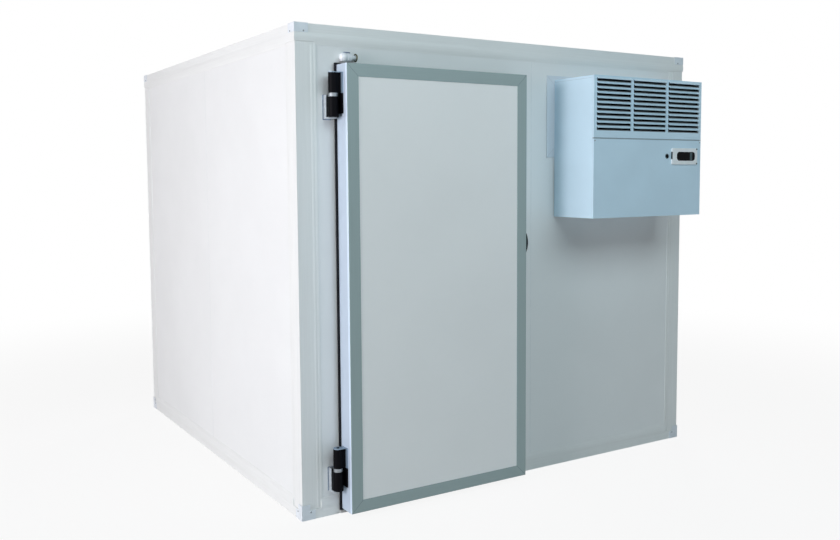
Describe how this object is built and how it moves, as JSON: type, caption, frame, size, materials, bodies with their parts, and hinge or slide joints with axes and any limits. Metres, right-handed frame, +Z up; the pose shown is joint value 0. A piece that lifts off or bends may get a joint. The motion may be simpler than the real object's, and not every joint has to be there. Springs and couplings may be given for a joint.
{
  "type": "walk-in cold room",
  "caption": "Walk-in cold room of insulated panels with a side-hinged overlapping door and a wall-mounted refrigeration unit.",
  "frame": {"origin": "centre of the room's footprint, on the level floor it stands on", "axes": "+Z up; the door and the refrigeration unit are on the side that faces -Y; +X is to the right seen from in front of the door"},
  "size_m": [2.405, 2.7075, 2.1995],
  "materials": {
    "floor_panel": "matt light grey walking surface",
    "insulated_panel": "satin white coated sheet",
    "edge_profile": "satin white extrusion",
    "corner_cap": "satin off-white moulding",
    "door_frame": "satin white extrusion",
    "door_sill": "satin white coated sheet",
    "door_skin": "satin white coated sheet",
    "door_profile": "satin grey coated extrusion",
    "door_gasket": "matt black rubber",
    "hinge_metal": "satin cast alloy",
    "hinge_black": "satin black nylon",
    "hinge_pin": "turned steel",
    "fitting": "satin off-white",
    "unit_sheet": "satin white coated sheet",
    "controller": "satin light grey moulding",
    "controller_window": "gloss dark window",
    "button": "gloss dark button"
  },
  "bodies": {
    "room": {"floor_panel_left": "floor_panel", "floor_panel_middle": "floor_panel", "floor_panel_right": "floor_panel", "ceiling_panel_left": "insulated_panel", "ceiling_panel_right": "insulated_panel", "left_wall_front": "insulated_panel", "left_wall_back": "insulated_panel", "right_wall_front": "insulated_panel", "right_wall_back": "insulated_panel", "back_wall_left": "insulated_panel", "back_wall_right": "insulated_panel", "front_wall_hinge_side": "insulated_panel", "front_wall_header": "insulated_panel", "front_wall_latch_side": "insulated_panel", "front_wall_unit_side": "insulated_panel", "unit_plug": "insulated_panel", "corner_profile_front_left": "edge_profile", "corner_profile_front_right": "edge_profile", "corner_profile_back_right": "edge_profile", "corner_profile_back_left": "edge_profile", "roof_profile_front": "edge_profile", "roof_profile_right": "edge_profile", "roof_profile_back": "edge_profile", "roof_profile_left": "edge_profile", "base_profile_front": "edge_profile", "base_profile_right": "edge_profile", "base_profile_back": "edge_profile", "base_profile_left": "edge_profile", "bottom_corner_caps": "corner_cap", "roof_corner_caps": "corner_cap", "door_frame_left": "door_frame", "door_frame_head": "door_frame", "door_frame_right": "door_frame", "door_sill": "door_sill", "hinge_wall_brackets": "hinge_metal", "hinge_wall_barrels": "hinge_black", "hinge_pins": "hinge_pin", "door_switch": "fitting", "unit_case": "unit_sheet", "unit_cover": "unit_sheet", "unit_grille": "unit_sheet", "unit_front_panel": "unit_sheet", "unit_flange": "unit_sheet", "unit_controller": "controller", "unit_display": "controller_window", "unit_button": "button"},
    "door": {"door_panel": "door_skin", "door_edge_bottom": "door_profile", "door_edge_left": "door_profile", "door_edge_top": "door_profile", "door_edge_right": "door_profile", "door_gasket": "door_gasket", "hinge_leaf_plates": "hinge_metal", "hinge_leaf_barrels": "hinge_black", "hinge_buffers": "hinge_black", "door_handle": "hinge_black"}
  },
  "joints": [
    {"name": "door_hinge", "type": "hinge", "parent": "room", "child": "door", "pos_m": [-1.04, -1.245, 0], "axis": [0, 0, -1], "range_deg": [0, 120]}
  ]
}
